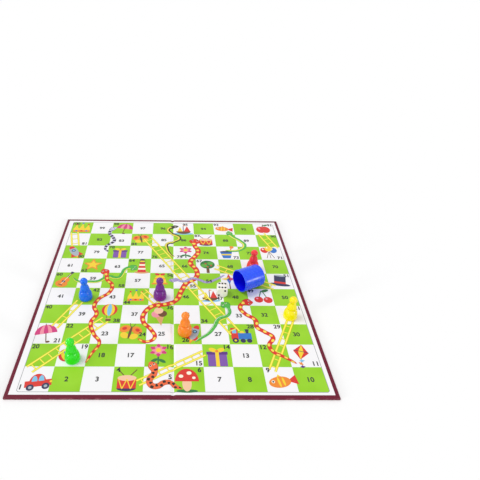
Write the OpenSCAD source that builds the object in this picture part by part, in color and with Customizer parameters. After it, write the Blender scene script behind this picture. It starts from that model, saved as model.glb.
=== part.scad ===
// Folding snakes and ladders board with its pawns, dice cup and die.
// The board lies open on Z = 0 with the print side up. The fold runs along Y through the origin.

/* [Board] */
// Width of the open board across the fold
board_w = 352.5; // [350:0.5:400]
// Depth of the board along the fold
board_d = 348.5; // [346:0.5:400]
// Thickness of the greyboard panels
core_thick = 2.2; // [1.6:0.1:3]
// Thickness of the maroon wrap paper
wrap_paper = 0.2; // [0.1:0.05:0.3]
// Thickness of the white print sheet
print_paper = 0.15; // [0.1:0.05:0.25]
// Width of the maroon border that the print sheet leaves bare
border_w = 4.2; // [2:0.1:6]
// Depth of the wrap paper's turn-in over the top of a panel
turn_in = 8; // [7:0.5:12]

/* [Fold] */
// Play between a panel and the spine beyond what the crease needs to turn
crease_play = 0.1; // [0.05:0.05:0.4]
// Gap left between the two prints when the bare board is shut
shut_gap = 0.35; // [0.2:0.05:1]
// Radius at which the print sheet rolls down into the fold
roll_radius = 0.9; // [0.5:0.1:1.4]

/* [Print] */
// Side of one square
cell = 33.2; // [30:0.1:33.6]
// Shift of the printed grid to the right of the fold
grid_shift = 1.3; // [0:0.1:2]
// Shift of the printed grid towards the near edge
grid_near = 0.6; // [0:0.1:1]
// Thickness of one pass of ink
ink = 0.04; // [0.02:0.01:0.08]
// White line left between neighbouring green squares
ink_gap = 0.1; // [0.05:0.05:0.5]
// Width of a ladder across its rails
ladder_w = 12.5; // [11:0.5:14]
// Width of a ladder's rail
rail_w = 2.8; // [2:0.1:3.2]
// Width of a ladder's rung
rung_w = 1.6; // [1:0.1:2]
// Distance from rung to rung
rung_pitch = 10.5; // [8:0.5:12]
// Width of a snake's body
snake_w = 6; // [4:0.5:6.5]
// Width of a snake's head
snake_head_w = 11; // [9:0.5:12]
// Length of a snake's head
snake_head_len = 14; // [11:0.5:16]

/* [Pawn] */
// Height of a pawn
pawn_h = 33; // [32:0.5:38]
// Diameter of the foot that the pawn stands on
foot_d = 16.4; // [15.8:0.1:16.8]
// Largest diameter of the lower bell
bell_d = 17.6; // [17:0.1:18.4]
// Height of the bell's largest diameter
bell_z = 3; // [2:0.1:4]
// Diameter of the groove between the two tiers
groove_d = 9; // [8.6:0.1:9.6]
// Height of the groove
groove_z = 14.6; // [14:0.1:15]
// Diameter of the upper tier's lip
lip_d = 12.2; // [11.6:0.1:12.8]
// Height of the upper tier's lip
lip_z = 16; // [15.6:0.1:17]
// Diameter of the neck
neck_d = 7.6; // [7.4:0.1:8.2]
// Height of the neck
neck_z = 23.2; // [22:0.2:23.4]
// Diameter of the ball head
head_d = 9.8; // [9.4:0.1:10.4]
// Least wall round the hollow
pawn_wall = 1.3; // [1:0.1:1.8]
// Depth of the hollow that opens at the foot
hollow_h = 20; // [15:1:22]

/* [Dice cup] */
// Outer diameter at the lip
cup_lip_d = 31.2; // [31:0.2:36]
// Outer diameter at the closed end
cup_base_d = 30; // [26:0.2:30.4]
// Length from the closed end to the mouth
cup_len = 33; // [29:0.5:36]
// Wall thickness
cup_wall = 1.2; // [1:0.1:2]
// Thickness of the closed end
cup_floor = 1.6; // [1:0.1:3]
// Length of the bead round the mouth
cup_bead_len = 2.2; // [1.6:0.1:3]
// Height of the bead above the wall
cup_bead_rise = 0.4; // [0.2:0.05:0.5]
// Radius between the wall and the closed end
cup_round = 2.4; // [1:0.1:3]
// Gap under the curved side where it lies on the board
cup_rest_gap = 0.2; // [0.1:0.05:0.4]

/* [Die] */
// Side of the die
die_side = 14.4; // [12:0.2:16]
// Length that the rounding takes off each corner, as a share of the die's side
die_round = 0.145; // [0.08:0.005:0.16]
// Diameter of a pip, as a share of the die's side
pip_d = 0.21; // [0.16:0.005:0.215]
// Depth of a pip's recess
pip_depth = 0.7; // [0.4:0.05:1]
// Thickness of the paint in a pip's recess
pip_paint = 0.35; // [0.2:0.05:0.4]
// Clearance between the paint and the recess wall
pip_play = 0.04; // [0.02:0.01:0.08]
// Distance from a pip to the middle of its face, as a share of the die's side
pip_pitch = 0.275; // [0.25:0.005:0.275]

/* [Hidden] */
$fn = 96;
maroon = [0.48, 0.11, 0.17];
grey_board = [0.62, 0.58, 0.52];
sheet_white = [0.96, 0.96, 0.95];
square_green = [0.57, 0.82, 0.18];
ladder_yellow = [0.93, 0.83, 0.2];
snake_red = [0.87, 0.2, 0.13];
snake_green = [0.3, 0.66, 0.27];
snake_olive = [0.55, 0.5, 0.1];
snake_lilac = [0.62, 0.56, 0.74];
snake_slate = [0.3, 0.27, 0.42];
snake_orange = [0.9, 0.45, 0.28];
pawn_blue = [0.1, 0.48, 0.93];
pawn_green = [0.2, 0.86, 0.16];
pawn_purple = [0.42, 0.12, 0.58];
pawn_orange = [1, 0.56, 0.16];
pawn_red = [0.93, 0.2, 0.26];
pawn_yellow = [0.97, 0.89, 0.06];
cup_blue = [0.13, 0.3, 0.92];
die_ivory = [0.95, 0.93, 0.88];
pip_black = [0.06, 0.05, 0.05];

// Squares along each side, and the number of ink passes: squares, ladders, snakes
cells = 10;
passes = 3;

// How far a cut runs past the face that it opens
cut_past = 1;

// Heights of the lamination
half_w = board_w / 2;
half_d = board_d / 2;
core_top = wrap_paper + core_thick;
sheet_top = core_top + print_paper;
stand_z = sheet_top + passes * ink;

// Fold: each crease axis lies halfway up the spine, in the middle of its slit
spine_thick = 2 * wrap_paper + print_paper;
fold_top = wrap_paper + print_paper;
crease_gap = spine_thick + crease_play;
crease_z = spine_thick / 2;
crease_x = stand_z + shut_gap / 2 - crease_z;
panel_x = crease_x + crease_gap / 2;
spine_x = crease_x - crease_gap / 2;
core_x = panel_x + print_paper;
core_round = roll_radius - print_paper;
flat_x = panel_x + roll_radius;

// Places on the grid, counted in squares from the near left corner
function grid_x(u) = grid_shift + (u - cells / 2) * cell;
function grid_y(v) = (v - cells / 2) * cell - grid_near;
function grid(p) = [grid_x(p[0]), grid_y(p[1])];

// Ladders from foot to top, in squares, and their widths as shares of the ladder width
ladders = [
    [[0.19, 0.87], [2.42, 3.2], 1.08], [[3.82, 0.34], [6.05, 1.6], 0.76], [[8.3, 0.85], [9.5, 3.35], 0.8],
    [[0.6, 2.8], [1.3, 4.2], 0.88], [[7.25, 2.55], [3.78, 8.62], 1.24], [[4.4, 4], [3.75, 4.85], 0.82],
    [[9.2, 5.1], [6.85, 6.45], 0.95], [[9.75, 7.85], [9.3, 9.1], 1.06], [[0.45, 7.95], [0.2, 9.1], 1.06]
];

// Snakes from head to tail, in squares
snakes = [
    [[2.2, 9.55], [2, 9.4], [1.9, 9.05], [2.1, 8.7], [2.2, 8.4], [1.9, 8], [1.85, 7.75], [2.05, 7.5]],
    [[5.25, 9.7], [4.9, 9.6], [4.75, 9.35], [4.95, 9.05], [5.3, 8.65], [5, 8.35], [4.7, 8.15], [4.7, 7.85],
        [4.85, 7.4], [5.05, 7.2]],
    [[7.7, 9.3], [7.8, 8.9], [8.2, 8.45], [8.35, 8.1], [8.1, 7.75], [7.75, 7.65], [7.4, 7.7]],
    [[6.05, 8.6], [6, 8.05], [6.15, 7.6], [6, 7.25], [5.75, 6.75], [6, 6.2], [5.95, 5.7], [5.55, 5.35],
        [5.3, 4.8], [5.1, 4.3], [4.7, 4.05], [4.2, 3.95], [3.85, 3.5], [3.85, 3.1], [4.15, 2.7],
        [4.3, 2.3], [4, 2.1], [3.7, 2.25]],
    [[3.43, 6.25], [3.12, 6.37], [2.9, 6.24], [2.81, 5.94], [2.68, 5.68], [2.48, 5.67], [2.28, 5.75],
        [2.06, 5.6], [1.85, 5.43], [1.4, 5.4], [1, 5.42], [0.75, 5.65]],
    [[1.95, 6.25], [2.15, 5.85], [2.2, 5.55], [2.45, 5.2], [2.4, 4.75], [2, 4.3], [1.9, 3.9], [2.05, 3.5],
        [1.9, 3.05], [2.1, 2.45], [2.35, 2.05], [2.15, 1.55], [2, 1.15]],
    [[4.8, 5.5], [5.1, 5.55], [5.45, 5.45], [5.8, 5.65], [6.1, 5.55], [6.4, 5.4], [6.8, 5.6], [7.2, 5.9]],
    [[8.15, 4.2], [7.8, 4.15], [7.6, 3.9], [7.75, 3.55], [8.1, 3.2], [8.1, 2.85], [8.35, 2.6], [8.6, 2.35],
        [8.4, 1.95], [8.5, 1.65], [8.8, 1.45], [9.2, 1.15]],
    [[6.9, 4.2], [7.15, 3.8], [7.1, 3.5], [6.7, 3.25], [6.5, 2.85], [6.25, 2.5], [6, 2.3], [5.75, 2.1]],
    [[4.18, 1.2], [4.32, 0.95], [4.34, 0.72], [4.2, 0.48], [4.26, 0.26], [4.46, 0.22], [4.68, 0.36],
        [4.9, 0.36], [5.04, 0.22], [5.26, 0.12]]
];

// Widths of each snake's body and head, as shares of the body width and the head width
snake_shares = [
    [0.85, 0.85], [0.95, 0.8], [1.05, 0.95], [1.25, 1.65], [1, 1.2],
    [0.92, 1.15], [0.75, 0.75], [1, 1.2], [0.85, 1.2], [1.2, 1]
];

snake_inks = [
    snake_slate, snake_olive, snake_green, snake_red, snake_green,
    snake_red, snake_lilac, snake_red, snake_green, snake_orange
];

// Standing places in squares, and the turns of the cup and the die
blue_at = [1.5, 4.4];
green_at = [1.55, 1.3];
purple_at = [4.45, 4.45];
orange_at = [5.4, 2.55];
red_at = [8.45, 6.35];
yellow_at = [9.45, 3.4];
cup_mouth_at = [7.647, 4.922];
cup_turn = 28;
die_at = [6.95, 4.7];
die_turn = -5;

// Section of a panel layer, with the edge beside the fold rounded at the top
module layer_section(x0, x1, z0, z1, r) {
    difference() {
        translate([x0, z0]) square([x1 - x0, z1 - z0]);
        translate([x0, z1 - r]) difference() {
            square([r, r]);
            translate([r, 0]) circle(r);
        }
    }
}

// Stretches a section drawn in X and Z along Y
module along_fold(length) {
    rotate([90, 0, 0]) linear_extrude(length, center = true) children();
}

// Greyboard panel: its rim is set in by the wrap paper's turn-in
module panel_core() {
    along_fold(board_d - 2 * wrap_paper)
        layer_section(core_x + wrap_paper, half_w - wrap_paper, wrap_paper, core_top - wrap_paper,
            core_round - wrap_paper);
    intersection() {
        along_fold(board_d)
            layer_section(core_x, half_w, wrap_paper, core_top, core_round);
        translate([0, turn_in - half_d, 0])
            cube([half_w - turn_in, board_d - 2 * turn_in, core_top]);
    }
}

// Wrap paper: back, three edges and turn-ins, down into the fold at both ends
module panel_cover() {
    difference() {
        along_fold(board_d) {
            layer_section(core_x, half_w, 0, core_top, core_round);
            translate([panel_x, 0]) square([half_w - panel_x, wrap_paper]);
        }
        panel_core();
    }
}

// Print sheet: flat on the panel and rolled down its edge into the fold
module panel_print_sheet() {
    along_fold(board_d - 2 * border_w) difference() {
        layer_section(panel_x, half_w - border_w, wrap_paper, sheet_top, roll_radius);
        layer_section(core_x, half_w, 0, core_top, core_round);
    }
}

module left_board() {
    color(grey_board) mirror([1, 0, 0]) panel_core();
}

module right_board() {
    color(grey_board) panel_core();
}

module left_cover() {
    color(maroon) mirror([1, 0, 0]) panel_cover();
}

module right_cover() {
    color(maroon) panel_cover();
}

module left_print_sheet() {
    color(sheet_white) mirror([1, 0, 0]) panel_print_sheet();
}

module right_print_sheet() {
    color(sheet_white) panel_print_sheet();
}

// Section of a strip at the bottom of the fold, drawn in Y and Z, stepping up onto the turn-ins
module across_fold() {
    rotate([90, 0, 90]) linear_extrude(2 * spine_x, center = true) children();
}

module spine_cover() {
    color(maroon) across_fold() difference() {
        translate([-half_d, 0]) square([board_d, 2 * wrap_paper]);
        translate([turn_in - half_d, wrap_paper]) square([board_d - 2 * turn_in, 2 * wrap_paper]);
    }
}

module fold_print_sheet() {
    color(sheet_white) across_fold() {
        translate([turn_in - half_d, wrap_paper]) square([board_d - 2 * turn_in, print_paper]);
        for (side = [0, 1]) mirror([side, 0]) {
            translate([half_d - turn_in - print_paper, wrap_paper])
                square([print_paper, wrap_paper + print_paper]);
            translate([half_d - turn_in - print_paper, 2 * wrap_paper])
                square([turn_in - border_w + print_paper, print_paper]);
        }
    }
}

// Keeps what lies over the left panel, the right panel or the bottom of the fold
module part_over(x0, x1, y1, z) {
    intersection() {
        translate([0, 0, z]) children();
        translate([x0, -y1, z]) cube([x1 - x0, 2 * y1, ink]);
    }
}

module over_left(pass) {
    part_over(-half_w, -flat_x, half_d, sheet_top + pass * ink) children();
}

module over_right(pass) {
    part_over(flat_x, half_w, half_d, sheet_top + pass * ink) children();
}

module over_fold(pass) {
    part_over(-spine_x, spine_x, half_d - turn_in - print_paper, fold_top + pass * ink) children();
}

// Even numbers stand on green squares
module green_squares(columns) {
    for (column = columns, row = [0:cells - 1])
        if ((column + row) % 2 == 1)
            translate([grid_x(column) + ink_gap / 2, grid_y(row) + ink_gap / 2, 0])
                cube([cell - ink_gap, cell - ink_gap, ink]);
}

module left_green_squares() {
    color(square_green) over_left(0) green_squares([0:cells / 2 - 1]);
}

module right_green_squares() {
    color(square_green) over_right(0) green_squares([cells / 2:cells - 1]);
}

module fold_green_squares() {
    color(square_green) over_fold(0) green_squares([cells / 2 - 1:cells / 2]);
}

// Ladder with its foot at the first place and its top at the second
module ladder(foot, top, width) {
    span = top - foot;
    length = norm(span);
    rungs = floor(length / rung_pitch);
    translate([foot[0], foot[1], 0]) rotate([0, 0, atan2(span[1], span[0])]) {
        for (side = [-1, 1])
            translate([0, side * (width - rail_w) / 2 - rail_w / 2, 0]) cube([length, rail_w, ink]);
        for (i = [0:rungs - 1])
            translate([(i + 0.5) * length / rungs - rung_w / 2, rail_w - width / 2, 0])
                cube([rung_w, width - 2 * rail_w, ink]);
    }
}

module all_ladders() {
    for (l = ladders) ladder(grid(l[0]), grid(l[1]), l[2] * ladder_w);
}

module left_ladders() {
    color(ladder_yellow) over_left(1) all_ladders();
}

module right_ladders() {
    color(ladder_yellow) over_right(1) all_ladders();
}

module fold_ladders() {
    color(ladder_yellow) over_fold(1) all_ladders();
}

// Smooth curve through a list of points
function curve_point(p, i, t) =
    let (
        a = p[max(i - 1, 0)],
        b = p[i],
        c = p[i + 1],
        d = p[min(i + 2, len(p) - 1)]
    )
    b + 0.5 * t * (c - a + t * (2 * a - 5 * b + 4 * c - d + t * (3 * b - a - 3 * c + d)));
function curve(p, steps) = [
    for (i = [0:len(p) - 2], k = [0:steps - 1]) curve_point(p, i, k / steps),
    p[len(p) - 1]
];

function path_length(p, i = 1) = i >= len(p) ? 0 : norm(p[i] - p[i - 1]) + path_length(p, i + 1);
function side_normal(p, i) =
    let (d = p[min(i + 1, len(p) - 1)] - p[max(i - 1, 0)])
    [-d[1], d[0]] / norm(d);

// Half the snake's width at a distance from its nose: a round head, a neck, then a tapering tail
function snake_half(d, length, shares) =
    let (
        body_w = shares[0] * snake_w,
        head_w = shares[1] * snake_head_w,
        head = sin(180 * min(d / snake_head_len, 1)),
        nose = 0.4 + 0.6 * sin(90 * min(2.5 * d / snake_head_len, 1)),
        tail = 1 - 0.5 * pow(max(0, (2 * d - length) / length), 2)
    )
    nose * tail * (body_w + (head_w - body_w) * head) / 2;

module snake(route, shares, steps = 4) {
    p = curve([for (q = route) grid(q)], steps);
    n = len(p) - 1;
    length = path_length(p);
    sides = [for (i = [0:n]) side_normal(p, i) * snake_half(length * i / n, length, shares)];
    linear_extrude(ink) polygon(concat(
        [for (i = [0:n]) p[i] + sides[i]],
        [for (i = [n:-1:0]) p[i] - sides[i]]
    ));
}

module all_snakes() {
    for (i = [0:len(snakes) - 1]) color(snake_inks[i]) snake(snakes[i], snake_shares[i]);
}

module left_snakes() {
    over_left(2) all_snakes();
}

module right_snakes() {
    over_right(2) all_snakes();
}

module fold_snakes() {
    over_fold(2) all_snakes();
}

// Point whose radius and height lie at these shares of the way from one tier to the next
function between(a, b, across, up) = [a[0] + (b[0] - a[0]) * across, a[1] + (b[1] - a[1]) * up];

// Pawn: a bell-shaped lower tier, a groove, a smaller tier with a lip, a neck and a ball head.
// The hollow tapers so that it leaves the mould's core.
module pawn(place) {
    head_z = pawn_h - head_d / 2;
    throat_r = 0.44 * head_d;
    throat_z = head_z - sqrt(pow(head_d / 2, 2) - pow(throat_r, 2));
    foot = [foot_d / 2, 0];
    bell = [bell_d / 2, bell_z];
    groove = [groove_d / 2, groove_z];
    lip = [lip_d / 2, lip_z];
    neck = [neck_d / 2, neck_z];
    throat = [throat_r, throat_z];
    outline = [
        foot, between(foot, bell, 0.67, 0.32),
        bell, between(bell, groove, 0.1, 0.4), between(bell, groove, 0.36, 0.72),
        between(bell, groove, 0.72, 0.93),
        groove, between(groove, lip, 0.75, 0.25),
        lip, between(lip, neck, 0.2, 0.3), between(lip, neck, 0.62, 0.68),
        neck, between(neck, throat, 0.25, 0.6),
        throat
    ];
    hollow = [
        [0, -cut_past], [foot_d / 2 - pawn_wall, -cut_past], [groove_d / 2 - pawn_wall, groove_z],
        [neck_d / 2 - pawn_wall, hollow_h], [0, hollow_h]
    ];
    translate([grid_x(place[0]), grid_y(place[1]), stand_z]) {
        rotate_extrude() difference() {
            polygon(concat([[0, throat_z], [0, 0]], curve(outline, 4)));
            polygon(hollow);
        }
        translate([0, 0, head_z]) sphere(d = head_d);
    }
}

module blue_pawn() {
    color(pawn_blue) pawn(blue_at);
}

module green_pawn() {
    color(pawn_green) pawn(green_at);
}

module purple_pawn() {
    color(pawn_purple) pawn(purple_at);
}

module orange_pawn() {
    color(pawn_orange) pawn(orange_at);
}

module red_pawn() {
    color(pawn_red) pawn(red_at);
}

module yellow_pawn() {
    color(pawn_yellow) pawn(yellow_at);
}

// Cup standing on its closed end: tapered wall, bead round the mouth, rounded closed end
module cup_shell() {
    base_r = cup_base_d / 2;
    mouth_r = cup_lip_d / 2 - cup_bead_rise;
    bead_z = cup_len - cup_bead_len / 2;
    rotate_extrude() difference() {
        union() {
            difference() {
                polygon([[0, 0], [base_r, 0], [mouth_r, cup_len], [0, cup_len]]);
                translate([base_r - cup_round, 0]) difference() {
                    square([2 * cup_round, cup_round]);
                    translate([0, cup_round]) circle(cup_round);
                }
            }
            intersection() {
                translate([mouth_r + cup_bead_rise - cup_bead_len / 2, bead_z]) circle(d = cup_bead_len);
                translate([0, cup_len - cup_bead_len]) square([cup_lip_d, cup_bead_len]);
            }
        }
        polygon([
            [0, cup_floor], [base_r - cup_wall, cup_floor], [mouth_r - cup_wall, cup_len],
            [mouth_r - cup_wall, cup_len + cut_past], [0, cup_len + cut_past]
        ]);
    }
}

// The cup lies on its bead and on the round of its closed end
module dice_cup() {
    bead_z = cup_len - cup_bead_len / 2;
    round_r = cup_base_d / 2 - cup_round;
    bead_r = cup_lip_d / 2 - cup_bead_len / 2;
    run = bead_z - cup_round;
    rise = bead_r + cup_bead_len / 2 - round_r - cup_round;
    tilt = atan2(rise, run);
    mouth = grid(cup_mouth_at);
    mouth_z = cup_round + round_r * cos(tilt) + (cup_len - cup_round) * sin(tilt) + cup_rest_gap;
    color(cup_blue)
        translate([mouth[0], mouth[1], stand_z + mouth_z])
        rotate([0, 90 - tilt, 180 + cup_turn])
        translate([0, 0, -cup_len]) cup_shell();
}

// Pips of each face as steps of the pip pitch
pip_faces = [
    [[0, 0]],
    [[1, 1], [-1, -1]],
    [[1, 1], [0, 0], [-1, -1]],
    [for (x = [-1, 1], y = [-1, 1]) [x, y]],
    [[0, 0], for (x = [-1, 1], y = [-1, 1]) [x, y]],
    [for (x = [-1:1], y = [-1, 1]) [x, y]]
];
// Turns that bring the top to each face: one below, two in front, three to the left
pip_turns = [[180, 0, 0], [90, 0, 0], [0, -90, 0], [0, 90, 0], [-90, 0, 0], [0, 0, 0]];

// A disc in every pip, from a depth below the face to a height
module pips(d, depth, height) {
    step = pip_pitch * die_side;
    for (face = [0:5], pip = pip_faces[face])
        rotate(pip_turns[face])
            translate([pip[0] * step, pip[1] * step, die_side / 2 - depth])
            cylinder(h = height, d = d);
}

module on_die_place() {
    translate([grid_x(die_at[0]), grid_y(die_at[1]), stand_z + die_side / 2])
        rotate([0, 0, die_turn]) children();
}

module die() {
    color(die_ivory) on_die_place() difference() {
        intersection() {
            cube(die_side, center = true);
            sphere(d = (sqrt(3) - 2 * die_round) * die_side);
        }
        pips(pip_d * die_side, pip_depth, pip_depth + cut_past);
    }
}

module die_pips() {
    color(pip_black) on_die_place() pips(pip_d * die_side - 2 * pip_play, pip_depth, pip_paint);
}

left_board();
right_board();
left_cover();
right_cover();
spine_cover();
left_print_sheet();
right_print_sheet();
fold_print_sheet();
left_green_squares();
right_green_squares();
fold_green_squares();
left_ladders();
right_ladders();
fold_ladders();
left_snakes();
right_snakes();
fold_snakes();
blue_pawn();
green_pawn();
purple_pawn();
orange_pawn();
red_pawn();
yellow_pawn();
dice_cup();
die();
die_pips();
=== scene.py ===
import bpy
import math
from mathutils import Matrix, Vector


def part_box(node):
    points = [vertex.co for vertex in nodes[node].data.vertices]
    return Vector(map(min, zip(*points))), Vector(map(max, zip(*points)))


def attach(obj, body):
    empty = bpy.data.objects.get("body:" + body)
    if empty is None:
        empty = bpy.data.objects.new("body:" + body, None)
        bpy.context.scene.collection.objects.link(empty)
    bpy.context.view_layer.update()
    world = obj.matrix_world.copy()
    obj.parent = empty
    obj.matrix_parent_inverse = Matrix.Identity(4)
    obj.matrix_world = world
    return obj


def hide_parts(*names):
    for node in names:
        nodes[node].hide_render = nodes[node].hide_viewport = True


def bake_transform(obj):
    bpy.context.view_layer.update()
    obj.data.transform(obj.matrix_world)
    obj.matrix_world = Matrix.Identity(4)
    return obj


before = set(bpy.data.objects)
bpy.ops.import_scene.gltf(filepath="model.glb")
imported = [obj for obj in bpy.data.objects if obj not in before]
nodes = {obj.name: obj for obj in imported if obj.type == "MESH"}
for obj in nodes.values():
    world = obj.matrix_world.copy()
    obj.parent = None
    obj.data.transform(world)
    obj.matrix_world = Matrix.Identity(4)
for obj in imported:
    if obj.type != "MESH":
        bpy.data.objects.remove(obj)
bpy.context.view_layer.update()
mm = 0.001
print("frame loaded with", len(nodes), "nodes")


# Working habits: one selection at a time, places and modifiers applied

def deselect():
    if bpy.context.object and bpy.context.object.mode != "OBJECT":
        bpy.ops.object.mode_set(mode="OBJECT")
    bpy.ops.object.select_all(action="DESELECT")


def pick(*objs):
    deselect()
    for obj in objs:
        obj.select_set(True)
    bpy.context.view_layer.objects.active = objs[-1]
    return objs[-1]


def editAll(obj):
    pick(obj)
    bpy.ops.object.mode_set(mode="EDIT")
    bpy.ops.mesh.select_all(action="SELECT")


def backToObject():
    bpy.ops.object.mode_set(mode="OBJECT")


def applyPlace(obj):
    pick(obj)
    bpy.ops.object.transform_apply(location=True, rotation=True, scale=True)
    return obj


def applyModifier(obj, kind, **settings):
    pick(obj)
    modifier = obj.modifiers.new(kind.lower(), kind)
    for key, value in settings.items():
        setattr(modifier, key, value)
    bpy.ops.object.modifier_apply(modifier=modifier.name)
    return obj


def joinPieces(objs, name):
    joined = pick(*objs)
    if len(objs) > 1:
        bpy.ops.object.join()
    joined.name = name
    joined.data.name = name
    return joined


def copyPiece(obj, name):
    copied = obj.copy()
    copied.data = obj.data.copy()
    copied.name = name
    copied.data.name = name
    bpy.context.collection.objects.link(copied)
    return copied


def discard(obj):
    bpy.data.objects.remove(obj)


def coat(obj, *materials):
    obj.data.materials.clear()
    for material in materials:
        obj.data.materials.append(material)
    return obj


def fit(obj, body, slotName, *replaced):
    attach(obj, body)
    if replaced:
        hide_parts(*replaced)
    return obj


def turnAbout(axis, degrees):
    return Matrix.Rotation(math.radians(degrees), 4, axis)


# Node building: values are set on sockets, and sockets are linked

def paint(chart):
    parts = [int(chart[i:i + 2], 16) / 255 for i in (0, 2, 4)]
    return tuple(c / 12.92 if c <= 0.04045 else ((c + 0.055) / 1.055) ** 2.4 for c in parts) + (1.0,)


def plug(tree, value, socket):
    if isinstance(value, bpy.types.NodeSocket):
        tree.links.new(value, socket)
    else:
        socket.default_value = value


def addNode(tree, kind, inputs=None, **settings):
    node = tree.nodes.new("ShaderNode" + kind)
    for key, value in settings.items():
        setattr(node, key, value)
    for key, value in (inputs or {}).items():
        plug(tree, value, node.inputs[key])
    return node


def calc(tree, operation, first, second=0.0):
    return addNode(tree, "Math", {0: first, 1: second}, operation=operation).outputs[0]


def mixColour(tree, share, first, second, kind="MIX"):
    node = addNode(tree, "Mix", {0: share, 6: first, 7: second}, data_type="RGBA", blend_type=kind)
    return node.outputs[2]


def spread(tree, value, low, high, newLow=0.0, newHigh=1.0):
    inputs = {"Value": value, "From Min": low, "From Max": high, "To Min": newLow, "To Max": newHigh}
    return addNode(tree, "MapRange", inputs).outputs[0]


def noise(tree, place, scale, detail=2.0):
    return addNode(tree, "TexNoise", {"Vector": place, "Scale": scale, "Detail": detail}).outputs[0]


def objectPlace(tree):
    return addNode(tree, "TexCoord").outputs["Object"]


def splitPlace(tree, place):
    return addNode(tree, "SeparateXYZ", {0: place}).outputs[:2]


def apart(tree, first, second):
    return calc(tree, "ABSOLUTE", calc(tree, "SUBTRACT", first, second))


def newGroup(name, inputs, outputs):
    group = bpy.data.node_groups.new(name, "ShaderNodeTree")
    for label, value in inputs.items():
        kind = "NodeSocketFloat" if isinstance(value, float) else "NodeSocketColor"
        group.interface.new_socket(label, in_out="INPUT", socket_type=kind).default_value = value
    for label, kind in outputs.items():
        group.interface.new_socket(label, in_out="OUTPUT", socket_type="NodeSocket" + kind)
    return group, group.nodes.new("NodeGroupInput").outputs, group.nodes.new("NodeGroupOutput").inputs


def useGroup(tree, group, inputs):
    node = tree.nodes.new("ShaderNodeGroup")
    node.node_tree = group
    for key, value in inputs.items():
        plug(tree, value, node.inputs[key])
    return node.outputs


def newMaterial(name, **sockets):
    material = bpy.data.materials.new(name)
    material.use_nodes = True
    shader = material.node_tree.nodes["Principled BSDF"]
    for key, value in sockets.items():
        shader.inputs[key.replace("_", " ")].default_value = value
    return material, material.node_tree, shader.inputs


def finishSurface(tree, shader, outputs, depth):
    tree.links.new(outputs["Colour"], shader["Base Color"])
    tree.links.new(outputs["Roughness"], shader["Roughness"])
    bump = addNode(tree, "Bump", {"Height": outputs["Height"], "Distance": depth})
    tree.links.new(bump.outputs[0], shader["Normal"])


surfaceOutputs = {"Colour": "Color", "Roughness": "Float", "Height": "Float"}


# Paper: soft mottling, fine fibres and a gloss that wanders with them
def makePaperGrain():
    inputs = {"Colour": (1.0, 1.0, 1.0, 1.0), "Mottle": 0.06, "Fibre Scale": 2600.0, "Gloss": 0.5}
    group, start, end = newGroup("paperGrain", inputs, surfaceOutputs)
    place = objectPlace(group)
    cloud = noise(group, place, 28.0, 3.0)
    fibre = noise(group, place, start["Fibre Scale"], 4.0)
    blotch = calc(group, "ADD", calc(group, "MULTIPLY", cloud, 0.6), fibre)
    dark = calc(group, "MULTIPLY", blotch, start["Mottle"])
    level = calc(group, "ADD", 1.0, calc(group, "MULTIPLY", start["Mottle"], 0.8))
    shade = calc(group, "SUBTRACT", level, dark)
    plug(group, mixColour(group, 1.0, start["Colour"], shade, "MULTIPLY"), end["Colour"])
    gloss = calc(group, "ADD", start["Gloss"], spread(group, fibre, 0.3, 0.7, -0.06, 0.06))
    plug(group, gloss, end["Roughness"])
    plug(group, calc(group, "ADD", fibre, calc(group, "MULTIPLY", cloud, 0.5)), end["Height"])
    return group


# Moulded plastic: faint flow streaks, a little orange peel and rubbed patches
def makePlasticSkin():
    inputs = {
        "Colour": (1.0, 1.0, 1.0, 1.0), "Deep": (0.5, 0.5, 0.5, 1.0), "Flow Scale": 90.0, "Gloss": 0.2}
    group, start, end = newGroup("plasticSkin", inputs, surfaceOutputs)
    place = objectPlace(group)
    flow = noise(group, place, start["Flow Scale"], 2.0)
    peel = noise(group, place, 900.0, 2.0)
    rub = noise(group, place, 260.0, 6.0)
    streak = spread(group, flow, 0.35, 0.75, 0.0, 0.45)
    plug(group, mixColour(group, streak, start["Colour"], start["Deep"]), end["Colour"])
    gloss = calc(group, "ADD", start["Gloss"], spread(group, rub, 0.45, 0.75, 0.0, 0.14))
    plug(group, gloss, end["Roughness"])
    plug(group, calc(group, "ADD", peel, calc(group, "MULTIPLY", flow, 2.0)), end["Height"])
    return group


paperGrain = makePaperGrain()
plasticSkin = makePlasticSkin()


# One paper or ink: a colour function gives the tint, and the grain goes over it
def makePaper(name, colourFrom, specular=0.4, relief=0.008, mottle=0.06, gloss=0.45, fibre=2600.0):
    material, tree, shader = newMaterial(name, Specular_IOR_Level=specular)
    inputs = {"Colour": colourFrom(tree), "Mottle": mottle, "Fibre Scale": fibre, "Gloss": gloss}
    finishSurface(tree, shader, useGroup(tree, paperGrain, inputs), relief * mm)
    return material


# The board's own measures in millimetres, and below them what the frame gives
board = {
    "cell": 33.2,
    "gridShift": 1.3,
    "gridNear": 0.6,
    "squares": 10,
    "rollRadius": 0.9,
    "sagDepth": 1.1,
    "wrapThick": 0.2,
    "decalThick": 0.02,
}
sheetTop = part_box("right_print_sheet")[1].z / mm
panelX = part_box("right_print_sheet")[0].x / mm
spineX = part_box("fold_print_sheet")[1].x / mm
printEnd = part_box("right_print_sheet")[1].y / mm
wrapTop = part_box("right_cover")[1].z / mm
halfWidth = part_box("right_cover")[1].x / mm
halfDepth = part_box("right_cover")[1].y / mm
flatX = panelX + board["rollRadius"]
halfGrid = board["squares"] / 2


def gridPlace(u, v, z=0.0):
    x = board["gridShift"] + (u - halfGrid) * board["cell"]
    y = (v - halfGrid) * board["cell"] - board["gridNear"]
    return Vector((x * mm, y * mm, z * mm))


def squareCorner(number):
    row, step = divmod(number - 1, board["squares"])
    column = step if row % 2 == 0 else board["squares"] - 1 - step
    return column, row


# Board papers

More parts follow.
